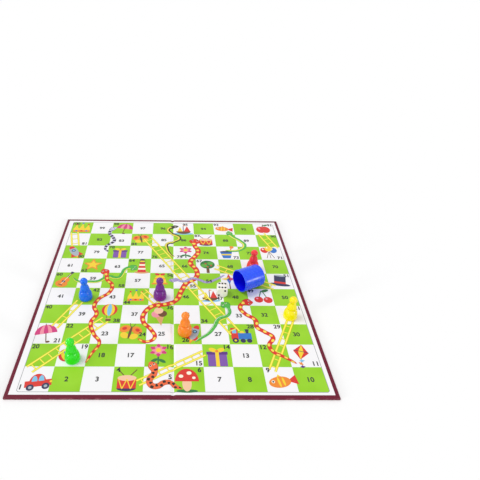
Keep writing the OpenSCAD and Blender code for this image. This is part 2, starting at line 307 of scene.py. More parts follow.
wrapLook = {
    "maroon": "6c0f2b", "worn": "a8656c", "mitre": "42091a", "scuffScale": 140.0, "clothScale": 1500.0,
    "wearWidth": 0.7, "wear": 0.55, "seamWidth": 0.25, "seam": 0.6,
    "paper": {"specular": 0.25, "relief": 0.03, "mottle": 0.1, "gloss": 0.5},
}


def wrapColour(tree):
    place = objectPlace(tree)
    x, y = splitPlace(tree, place)
    fromSide = calc(tree, "SUBTRACT", halfWidth * mm, calc(tree, "ABSOLUTE", x))
    fromEnd = calc(tree, "SUBTRACT", halfDepth * mm, calc(tree, "ABSOLUTE", y))
    fromRim = calc(tree, "MINIMUM", fromSide, fromEnd)
    rim = spread(tree, fromRim, 0.0, wrapLook["wearWidth"] * mm, wrapLook["wear"], 0.0)
    scuff = spread(tree, noise(tree, place, wrapLook["scuffScale"], 6.0), 0.5, 0.72)
    offMitre = apart(tree, fromSide, fromEnd)
    seam = spread(tree, offMitre, 0.0, wrapLook["seamWidth"] * mm, wrapLook["seam"], 0.0)
    weave = {"Vector": place, "Scale": wrapLook["clothScale"]}
    cloth = addNode(tree, "TexVoronoi", weave).outputs["Distance"]
    ink = mixColour(tree, seam, paint(wrapLook["maroon"]), paint(wrapLook["mitre"]))
    ink = mixColour(tree, spread(tree, cloth, 0.2, 0.7, 0.0, 0.16), ink, paint(wrapLook["mitre"]))
    return mixColour(tree, calc(tree, "MULTIPLY", rim, scuff), ink, paint(wrapLook["worn"]))


printLook = {
    "white": "f5f4f6", "green": "8fcb1c", "greenLight": "9ad52c", "line": "8b8f92", "lineWidth": 0.5,
    "cornerRound": 3.0, "edgeShift": 0.0005, "paper": {"specular": 0.3, "mottle": 0.03, "gloss": 0.42},
}


def printColour(tree):
    place = objectPlace(tree)
    x, y = splitPlace(tree, place)
    side = board["cell"] * mm
    u = calc(tree, "DIVIDE", calc(tree, "SUBTRACT", x, board["gridShift"] * mm), side)
    v = calc(tree, "DIVIDE", calc(tree, "ADD", y, board["gridNear"] * mm), side)
    # a hair of a shift, so that a wall that lies on a line falls to one side
    middle = halfGrid + printLook["edgeShift"]
    column = calc(tree, "FLOOR", calc(tree, "ADD", u, middle))
    row = calc(tree, "FLOOR", calc(tree, "ADD", v, middle))
    even = calc(tree, "MODULO", calc(tree, "ADD", column, row), 2.0)
    even = calc(tree, "GREATER_THAN", calc(tree, "ABSOLUTE", even), 0.5)
    # distance to the grid's rounded frame, in squares
    corner = printLook["cornerRound"] / board["cell"]
    over = []
    for way in (u, v):
        past = calc(tree, "SUBTRACT", calc(tree, "ABSOLUTE", way), halfGrid - corner)
        over.append(calc(tree, "POWER", calc(tree, "MAXIMUM", past, 0.0), 2.0))
    outside = calc(tree, "SUBTRACT", calc(tree, "SQRT", calc(tree, "ADD", *over)), corner)
    inside = calc(tree, "LESS_THAN", outside, 0.0)
    lineHalf = printLook["lineWidth"] / board["cell"] / 2
    line = spread(tree, calc(tree, "ABSOLUTE", outside), lineHalf, lineHalf * 1.4, 1.0, 0.0)
    cloud = spread(tree, noise(tree, place, 22.0, 2.0), 0.35, 0.65)
    green = mixColour(tree, cloud, paint(printLook["green"]), paint(printLook["greenLight"]))
    ink = mixColour(tree, calc(tree, "MULTIPLY", even, inside), paint(printLook["white"]), green)
    return mixColour(tree, line, ink, paint(printLook["line"]))


greyLook = {
    "grey": "9a9186", "fleck": "6e665c", "pale": "b9b2a6",
    "paper": {"specular": 0.2, "relief": 0.08, "mottle": 0.2, "gloss": 0.85, "fibre": 1400.0},
}


def greyColour(tree):
    place = objectPlace(tree)
    fleck = spread(tree, noise(tree, place, 700.0, 5.0), 0.58, 0.68)
    pale = spread(tree, noise(tree, place, 420.0, 5.0), 0.6, 0.7)
    ink = mixColour(tree, fleck, paint(greyLook["grey"]), paint(greyLook["fleck"]))
    return mixColour(tree, pale, ink, paint(greyLook["pale"]))


wrapPaper = makePaper("wrapPaper", wrapColour, **wrapLook["paper"])
printSheet = makePaper("printSheet", printColour, **printLook["paper"])
greyBoard = makePaper("greyBoard", greyColour, **greyLook["paper"])
for side in ("left", "right"):
    coat(nodes[side + "_board"], greyBoard)
    coat(nodes[side + "_cover"], wrapPaper)
coat(nodes["spine_cover"], wrapPaper)
for side in ("left", "right", "fold"):
    coat(nodes[side + "_print_sheet"], printSheet)
    coat(nodes[side + "_green_squares"], printSheet)
print("board papers coated")


# Paper that bends at the two creases: the print and the border sag over the gap, the wrap closes it below

creaseStrip = {
    "columns": 14, "rows": 40, "lap": 0.4, "endLap": 0.5, "backShort": 0.02,
    "printThick": 0.06, "lift": 0.02,
}


def sag(x):
    return board["sagDepth"] * math.cos(math.pi / 2 * min(1.0, abs(x) / flatX)) ** 2


def buildStrip(name, xEnds, yEnds, height, thick):
    deselect()
    bpy.ops.mesh.primitive_grid_add(
        x_subdivisions=creaseStrip["columns"], y_subdivisions=creaseStrip["rows"], size=1.0)
    strip = bpy.context.object
    strip.name = name
    for vertex in strip.data.vertices:
        x = xEnds[0] + (vertex.co.x + 0.5) * (xEnds[1] - xEnds[0])
        y = yEnds[0] + (vertex.co.y + 0.5) * (yEnds[1] - yEnds[0])
        vertex.co = Vector((x, y, height(x))) * mm
    return applyModifier(strip, "SOLIDIFY", thickness=thick * mm, offset=-1.0)


def bendPaper(strip):
    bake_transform(strip)


def makeCrease(side):
    over = (-flatX, 0.0) if side == "left" else (0.0, flatX)
    lap, lift = creaseStrip["lap"], creaseStrip["lift"]
    under = sorted((over[0] + over[1]) / flatX * x for x in (spineX - lap, panelX + lap))
    sheet = buildStrip(side + "CreasePrint", over, (-printEnd, printEnd),
                       lambda x: sheetTop - sag(x) + lift, creaseStrip["printThick"])
    bendPaper(coat(sheet, printSheet))
    ends = []
    inner = printEnd - creaseStrip["endLap"]
    for near, far in ((-halfDepth, -inner), (inner, halfDepth)):
        ends.append(buildStrip(
            "end", over, (near, far), lambda x: wrapTop - sag(x) + lift, board["wrapThick"]))
    border = joinPieces(ends, side + "CreaseBorder")
    bendPaper(coat(border, wrapPaper))
    backEnd = halfDepth - creaseStrip["backShort"]
    back = buildStrip(side + "CreaseBack", under, (-backEnd, backEnd),
                      lambda x: board["wrapThick"] - lift, board["wrapThick"] - 2 * lift)
    bendPaper(coat(back, wrapPaper))


makeCrease("left")
makeCrease("right")
print("crease papers bent")


# Printed layers: flat cut shapes, laid over the sheet and down into the fold

printLayer = {"pictures": 0.05, "ladders": 0.092, "snakes": 0.1, "numbers": 0.15}
foldCuts = (0.0, 0.25, 0.5, 0.75, 1.0)
printPart = {
    "left": lambda x: x < -flatX,
    "leftFold": lambda x: -flatX < x < 0,
    "rightFold": lambda x: 0 < x < flatX,
    "right": lambda x: x > flatX,
}


def keepWhere(obj, wanted):
    editAll(obj)
    bpy.ops.mesh.select_mode(type="FACE")
    bpy.ops.mesh.select_all(action="DESELECT")
    backToObject()
    for face in obj.data.polygons:
        face.select = not wanted(face.center.x / mm)
    bpy.ops.object.mode_set(mode="EDIT")
    bpy.ops.mesh.delete(type="FACE")
    backToObject()
    return obj


def layOnBoard(obj, lift, slotName, nodeName=None):
    for share in foldCuts:
        for x in {-share * flatX, share * flatX}:
            editAll(obj)
            bpy.ops.mesh.bisect(plane_co=(x * mm, 0.0, 0.0), plane_no=(1.0, 0.0, 0.0))
            backToObject()
    for vertex in obj.data.vertices:
        vertex.co.z += (sheetTop - sag(vertex.co.x / mm) + lift) * mm
    for place, wanted in printPart.items():
        part = keepWhere(copyPiece(obj, place + obj.name), wanted)
        if not part.data.polygons:
            discard(part)
            continue
        applyModifier(part, "SOLIDIFY", thickness=board["decalThick"] * mm, offset=-1.0)
        side = "left" if place.startswith("left") else "right"
        if place.endswith("Fold"):
            bendPaper(part)
        else:
            fit(part, side + "_half", slotName)
        if nodeName:
            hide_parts(("fold" if place == "rightFold" else side) + "_" + nodeName)
    discard(obj)


# Inks

inkChart = {
    "red": "d8342a", "orange": "ee8a2e", "yellow": "f4d233", "pink": "f094a4", "magenta": "cf3a7c",
    "peach": "f3c6a2", "tan": "dba56c", "bark": "6b4428", "navy": "2c2f52", "blue": "2f74c6",
    "sky": "7fc2e6", "violet": "7d54a8", "plum": "5b3180", "leaf": "5aaa3c", "forest": "2c7638",
    "cream": "fbf4de", "steel": "a8b3be", "black": "17161a",
}


def attributeColour(tree):
    return addNode(tree, "Attribute", attribute_name="ink").outputs["Color"]


numberLook = {"ink": "2a2c2b", "faded": "474a48"}


def numberColour(tree):
    speck = spread(tree, noise(tree, objectPlace(tree), 900.0, 3.0), 0.55, 0.75)
    return mixColour(tree, speck, paint(numberLook["ink"]), paint(numberLook["faded"]))


# A strip's own map runs 0 to 1 along it and across it
def stripMap(tree):
    return splitPlace(tree, addNode(tree, "UVMap").outputs[0])


ladderLook = {"yellow": "f7ec3a", "pale": "fdf68c", "edge": "b8a018", "edgeShare": 0.13, "edgeSoft": 0.03}


def ladderColour(tree):
    offMiddle = apart(tree, stripMap(tree)[1], 0.5)
    edgeStart = 0.5 - ladderLook["edgeShare"]
    edge = spread(tree, offMiddle, edgeStart, edgeStart + ladderLook["edgeSoft"])
    shine = spread(tree, offMiddle, 0.0, 0.2, 0.7, 0.0)
    ink = mixColour(tree, shine, paint(ladderLook["yellow"]), paint(ladderLook["pale"]))
    return mixColour(tree, edge, ink, paint(ladderLook["edge"]))


pictureInk = makePaper("pictureInk", attributeColour)
numberInk = makePaper("numberInk", numberColour)
ladderInk = makePaper("ladderInk", ladderColour)


# Ladders: foot and top in squares, and the width in millimetres

ladderPlan = {
    "rail": 2.8,
    "rung": 1.6,
    "pitch": 10.5,
    "routes": [
        ((0.19, 0.87), (2.42, 3.2), 13.5), ((3.82, 0.34), (6.05, 1.6), 9.5),
        ((8.3, 0.85), (9.5, 3.35), 10.0), ((0.6, 2.8), (1.3, 4.2), 11.0),
        ((7.25, 2.55), (3.78, 8.62), 15.5), ((4.4, 4.0), (3.75, 4.85), 10.25),
        ((9.2, 5.1), (6.85, 6.45), 11.88), ((9.75, 7.85), (9.3, 9.1), 13.25),
        ((0.45, 7.95), (0.2, 9.1), 13.25),
    ],
}


def addStrip(length, width, x, y, turn=0.0):
    deselect()
    bpy.ops.mesh.primitive_plane_add(size=1.0, location=(x * mm, y * mm, 0.0), rotation=(0.0, 0.0, turn))
    strip = bpy.context.object
    strip.scale = (length * mm, width * mm, 1.0)
    return applyPlace(strip)


def buildLadder(foot, top, width):
    start = gridPlace(*foot)
    span = gridPlace(*top) - start
    length = span.length / mm
    rungs = int(length // ladderPlan["pitch"])
    railY = (width - ladderPlan["rail"]) / 2
    parts = [addStrip(length, ladderPlan["rail"], length / 2, side * railY) for side in (-1, 1)]
    rungLength = width - 2 * ladderPlan["rail"]
    rung = addStrip(rungLength, ladderPlan["rung"], length / rungs / 2, 0.0, math.pi / 2)
    applyModifier(rung, "ARRAY", count=rungs, use_relative_offset=False, use_constant_offset=True,
                  constant_offset_displace=(length / rungs * mm, 0.0, 0.0))
    ladder = joinPieces(parts + [rung], "ladder")
    ladder.rotation_euler.z = math.atan2(span.y, span.x)
    ladder.location = start
    return applyPlace(ladder)


def makeLadders():
    ladders = joinPieces([buildLadder(*route) for route in ladderPlan["routes"]], "Ladders")
    coat(ladders, ladderInk)
    layOnBoard(ladders, printLayer["ladders"], "ladder_ink", "ladders")


makeLadders()
print("ladders printed")


# Snakes: each a straight strip with a head and a tapering tail, bent along its route

def makeSnakeSkin():
    inputs = {
        "Body": (1.0, 0.0, 0.0, 1.0), "Patch": (1.0, 1.0, 0.0, 1.0), "Belly": (1.0, 1.0, 0.0, 1.0),
        "Outline": (0.1, 0.0, 0.0, 1.0), "Repeats": 20.0, "Patch Long": 0.3, "Patch Wide": 0.3,
        "Patch Swing": 0.0, "Belly Share": 0.0, "Head Share": 0.1, "Turned": 0.0,
    }
    group, start, end = newGroup("snakeSkin", inputs, {"Colour": "Color"})
    along, across = stripMap(group)
    across = apart(group, across, start["Turned"])
    beat = calc(group, "MULTIPLY", along, start["Repeats"])
    wave = calc(group, "SINE", calc(group, "MULTIPLY", beat, math.pi))
    swing = calc(group, "MULTIPLY", wave, start["Patch Swing"])
    longWay = calc(group, "SUBTRACT", calc(group, "FRACT", beat), 0.5)
    wideWay = calc(group, "SUBTRACT", calc(group, "SUBTRACT", across, 0.5), swing)
    longWay = calc(group, "POWER", calc(group, "DIVIDE", longWay, start["Patch Long"]), 2.0)
    wideWay = calc(group, "POWER", calc(group, "DIVIDE", wideWay, start["Patch Wide"]), 2.0)
    patch = spread(group, calc(group, "ADD", longWay, wideWay), 0.85, 1.1, 1.0, 0.0)
    behindHead = calc(group, "GREATER_THAN", along, start["Head Share"])
    patch = calc(group, "MULTIPLY", patch, behindHead)
    belly = calc(group, "MULTIPLY", calc(group, "LESS_THAN", across, start["Belly Share"]), behindHead)
    rib = spread(group, calc(group, "FRACT", calc(group, "MULTIPLY", beat, 3.0)), 0.0, 0.25, 0.5, 0.0)
    edge = spread(group, apart(group, across, 0.5), 0.41, 0.45)
    ink = mixColour(group, patch, start["Body"], start["Patch"])
    ink = mixColour(group, belly, ink, mixColour(group, rib, start["Belly"], start["Body"]))
    plug(group, mixColour(group, edge, ink, start["Outline"]), end["Colour"])
    return group


snakeSkin = makeSnakeSkin()
snakeLook = {
    "redSnake": {
        "Body": "dc3320", "Patch": "f8dc52", "Outline": "b02a18", "beat": 9.0, "Patch Long": 0.27,
        "Patch Wide": 0.3, "Patch Swing": 0.12},
    "greenSnake": {
        "Body": "4fb344", "Patch": "6cc457", "Belly": "eef6ea", "Outline": "2f8a3a", "beat": 6.0,
        "Patch Long": 0.25, "Patch Wide": 0.18, "Patch Swing": 0.1, "Belly Share": 0.2},
    "bellySnake": {
        "Body": "4fb344", "Patch": "66c04e", "Belly": "f3ea66", "Outline": "3d9440", "beat": 6.0,
        "Patch Wide": 0.16, "Belly Share": 0.42},
    "vineSnake": {
        "Body": "4fb344", "Patch": "3f9f3c", "Belly": "f3ea4e", "Outline": "3d9440", "beat": 6.0,
        "Patch Wide": 0.16, "Belly Share": 0.3, "Turned": 1.0},
    "slateSnake": {
        "Body": "ccc8e4", "Patch": "17122e", "Outline": "2c2748", "beat": 7.0, "Patch Long": 0.3,
        "Patch Wide": 2.0},
    "oliveSnake": {
        "Body": "2a2412", "Patch": "5a4c18", "Belly": "f0e04e", "Outline": "2a2412", "beat": 5.0,
        "Patch Wide": 0.2, "Belly Share": 0.55},
    "lilacSnake": {
        "Body": "a294c6", "Patch": "b9b0d8", "Outline": "8a7db2", "beat": 4.0, "Patch Wide": 0.25},
    "orangeSnake": {
        "Body": "ee6a3c", "Patch": "2b1a14", "Outline": "b9502a", "beat": 4.8, "Patch Long": 0.36,
        "Patch Wide": 0.28, "Patch Swing": 0.22},
}
# skin, body width and head width in millimetres, then the route in squares from the nose
snakePlan = [
    ("slateSnake", 5.1, 9.35, [
        (2.2, 9.55), (2, 9.4), (1.9, 9.05), (2.1, 8.7), (2.2, 8.4), (1.9, 8), (1.85, 7.75),
        (2.05, 7.5)]),
    ("oliveSnake", 5.7, 8.8, [
        (5.25, 9.7), (4.9, 9.6), (4.75, 9.35), (4.95, 9.05), (5.3, 8.65), (5, 8.35), (4.7, 8.15),
        (4.7, 7.85), (4.85, 7.4), (5.05, 7.2)]),
    ("bellySnake", 6.3, 10.45, [
        (7.7, 9.3), (7.8, 8.9), (8.2, 8.45), (8.35, 8.1), (8.1, 7.75), (7.75, 7.65), (7.4, 7.7)]),
    ("redSnake", 7.5, 18.15, [
        (6.05, 8.6), (6, 8.05), (6.15, 7.6), (6, 7.25), (5.75, 6.75), (6, 6.2), (5.95, 5.7),
        (5.55, 5.35), (5.3, 4.8), (5.1, 4.3), (4.7, 4.05), (4.2, 3.95), (3.85, 3.5), (3.85, 3.1),
        (4.15, 2.7), (4.3, 2.3), (4, 2.1), (3.7, 2.25)]),
    ("vineSnake", 6.0, 13.2, [
        (3.43, 6.25), (3.12, 6.37), (2.9, 6.24), (2.81, 5.94), (2.68, 5.68), (2.48, 5.67), (2.28, 5.75),
        (2.06, 5.6), (1.85, 5.43), (1.4, 5.4), (1, 5.42), (0.75, 5.65)]),
    ("redSnake", 5.52, 12.65, [
        (1.95, 6.25), (2.15, 5.85), (2.2, 5.55), (2.45, 5.2), (2.4, 4.75), (2, 4.3), (1.9, 3.9),
        (2.05, 3.5), (1.9, 3.05), (2.1, 2.45), (2.35, 2.05), (2.15, 1.55), (2, 1.15)]),
    ("lilacSnake", 4.5, 8.25, [
        (4.8, 5.5), (5.1, 5.55), (5.45, 5.45), (5.8, 5.65), (6.1, 5.55), (6.4, 5.4), (6.8, 5.6),
        (7.2, 5.9)]),
    ("redSnake", 6.0, 13.2, [
        (8.15, 4.2), (7.8, 4.15), (7.6, 3.9), (7.75, 3.55), (8.1, 3.2), (8.1, 2.85), (8.35, 2.6),
        (8.6, 2.35), (8.4, 1.95), (8.5, 1.65), (8.8, 1.45), (9.2, 1.15)]),
    ("greenSnake", 5.1, 13.2, [
        (6.9, 4.2), (7.15, 3.8), (7.1, 3.5), (6.7, 3.25), (6.5, 2.85), (6.25, 2.5), (6, 2.3),
        (5.75, 2.1)]),
    ("orangeSnake", 7.2, 11.0, [
        (4.18, 1.2), (4.32, 0.95), (4.34, 0.72), (4.2, 0.48), (4.26, 0.26), (4.46, 0.22), (4.68, 0.36),
        (4.9, 0.36), (5.04, 0.22), (5.26, 0.12)]),
]
snakeMake = {
    "step": 1.0, "across": 8, "tail": 0.5, "tip": 7.0, "tipEnd": 0.15, "level": 0.004,
    "headLength": 14.0, "headShare": 0.8, "nose": 0.4, "noseRise": 2.5,
    "eye": 2.6, "pupil": 1.9, "eyeAlong": 0.36, "eyeAcross": 0.2, "eyeLift": 0.003, "pupilAhead": 0.2,
}


def makeSkin(name, length):
    look = snakeLook[name]

    def skinColour(tree):
        inputs = {key: paint(value) for key, value in look.items() if isinstance(value, str)}
        measures = {key: value for key, value in look.items() if isinstance(value, float)}
        measures.pop("beat")
        inputs.update(measures)
        inputs["Repeats"] = float(round(length / look["beat"]))
        inputs["Head Share"] = snakeMake["headShare"] * snakeMake["headLength"] / length
        return useGroup(tree, snakeSkin, inputs)["Colour"]

    return makePaper(name, skinColour)


def snakeHalf(d, length, width, headWidth):
    share = min(d / snakeMake["headLength"], 1.0)
    head = math.sin(math.pi * share)
    blunt = snakeMake["nose"]
    nose = blunt + (1 - blunt) * math.sin(math.pi / 2 * min(snakeMake["noseRise"] * share, 1.0))
    tail = 1 - (1 - snakeMake["tail"]) * max(0.0, 2 * d / length - 1) ** 2
    intoTip = max(0.0, 1 - (length - d) / snakeMake["tip"])
    tail *= max(snakeMake["tipEnd"], math.sqrt(max(0.0, 1 - intoTip ** 2)))
    return nose * tail * (width + (headWidth - width) * head) / 2


def colourShape(obj, chart):
    attribute = obj.data.attributes.new("ink", "FLOAT_COLOR", "POINT")
    attribute.data.foreach_set("color", paint(chart) * len(obj.data.vertices))
    return obj


def addSpot(x, y, z, across, colour):
    deselect()
    bpy.ops.mesh.primitive_circle_add(vertices=14, radius=across / 2 * mm, fill_type="NGON",
                                      location=(x * mm, y * mm, z * mm))
    return coat(colourShape(applyPlace(bpy.context.object), inkChart[colour]), pictureInk)


def routeCurve(route):
    curve = bpy.data.curves.new("route", "CURVE")
    curve.dimensions = "3D"
    curve.resolution_u = 16
    spline = curve.splines.new("BEZIER")
    spline.bezier_points.add(len(route) - 1)
    for point, place in zip(spline.bezier_points, route):
        point.co = gridPlace(*place)
        point.handle_left_type = point.handle_right_type = "AUTO"
    path = bpy.data.objects.new("route", curve)
    bpy.context.collection.objects.link(path)
    bpy.context.view_layer.update()
    return path, spline.calc_length() / mm


def buildSnake(level, skin, width, headWidth, route):
    path, length = routeCurve(route)
    deselect()
    bpy.ops.mesh.primitive_grid_add(
        x_subdivisions=int(length / snakeMake["step"]), y_subdivisions=snakeMake["across"], size=1.0)
    body = bpy.context.object
    for vertex in body.data.vertices:
        d = (vertex.co.x + 0.5) * length
        half = snakeHalf(d, length, width, headWidth)
        vertex.co = Vector((d, vertex.co.y * 2 * half, 0.0)) * mm
    coat(body, makeSkin(skin, length))
    eyeX = snakeMake["headLength"] * snakeMake["eyeAlong"]
    lift = snakeMake["eyeLift"]
    parts = []
    for side in (-1, 1):
        eyeY = side * headWidth * snakeMake["eyeAcross"]
        parts.append(addSpot(eyeX, eyeY, lift, snakeMake["eye"], "cream"))
        parts.append(addSpot(eyeX - snakeMake["pupilAhead"], eyeY, 2 * lift, snakeMake["pupil"], "black"))
    snake = joinPieces(parts + [body], "snake")
    applyModifier(snake, "CURVE", object=path, deform_axis="POS_X")
    discard(path)
    snake.location.z = level * snakeMake["level"] * mm
    return applyPlace(snake)


def makeSnakes():
    snakes = joinPieces([buildSnake(level, *plan) for level, plan in enumerate(snakePlan)], "Snakes")
    layOnBoard(snakes, printLayer["snakes"], "snake_ink", "snakes")


makeSnakes()
print("snakes printed")


# Numbers 1 to 100: in the middle of a plain square, or in a corner beside a picture

numberPlan = {
    "size": 8.6,
    "bold": 0.025,
    "middle": (0.49, 0.48),
    "corners": {
        (0.15, 0.86): (4, 9, 12, 20, 22, 40, 49, 60, 64, 67, 78, 87, 93, 98, 100),
        (0.85, 0.86): (6, 14, 16, 19, 28, 29, 31, 36, 42, 51, 53, 56, 90, 91),
        (0.84, 0.14): (11, 15, 21, 38, 58, 71, 73, 80, 81),
        (0.15, 0.14): (34, 44, 62, 76, 84),
        (0.08, 0.17): (1,),
    },
    "clear": {
        5: (0.87, 0.58), 24: (0.85, 0.45), 25: (0.55, 0.48), 26: (0.42, 0.18), 27: (0.62, 0.48),
        33: (0.5, 0.43), 43: (0.55, 0.45), 47: (0.85, 0.4), 55: (0.8, 0.15), 59: (0.6, 0.6),
        63: (0.55, 0.42), 75: (0.28, 0.16), 83: (0.54, 0.4), 85: (0.55, 0.48), 95: (0.6, 0.85),
    },
}


def numberSpot(number):
    if number in numberPlan["clear"]:
        return numberPlan["clear"][number]
    for spot, numbers in numberPlan["corners"].items():
        if number in numbers:
            return spot
    return numberPlan["middle"]


def buildNumber(number):
    column, row = squareCorner(number)
    across, up = numberSpot(number)
    deselect()
    bpy.ops.object.text_add(location=gridPlace(column + across, row + up))
    text = bpy.context.object
    text.data.body = str(number)
    text.data.size = numberPlan["size"] * mm
    text.data.offset = numberPlan["bold"] * numberPlan["size"] * mm
    text.data.align_x = "CENTER"
    text.data.align_y = "CENTER"
    text.data.resolution_u = 4
    bpy.ops.object.convert(target="MESH")
    return applyPlace(bpy.context.object)


def makeNumbers():
    numbers = joinPieces([buildNumber(n) for n in range(1, board["squares"] ** 2 + 1)], "Numbers")
    coat(numbers, numberInk)
    layOnBoard(numbers, printLayer["numbers"], "print_sheet")


makeNumbers()
print("numbers printed")


# Pictures: toys and everyday things cut from flat shapes, in hundredths of a square from the middle

shapeMake = {
    "corners": {"tri": 3, "diamond": 4, "star": 10, "bloom": 48}, "roundCorners": 28,
    "starWaist": 0.45, "petals": 6, "petalDip": 0.2, "trapTop": 0.6, "level": 0.004,
}


# a shape on both sides of a picture's middle line
def pair(shape, colour, x, y, width, height, tilt=0):
    return [(shape, colour, side * x, y, width, height, side * tilt) for side in (-1, 1)]


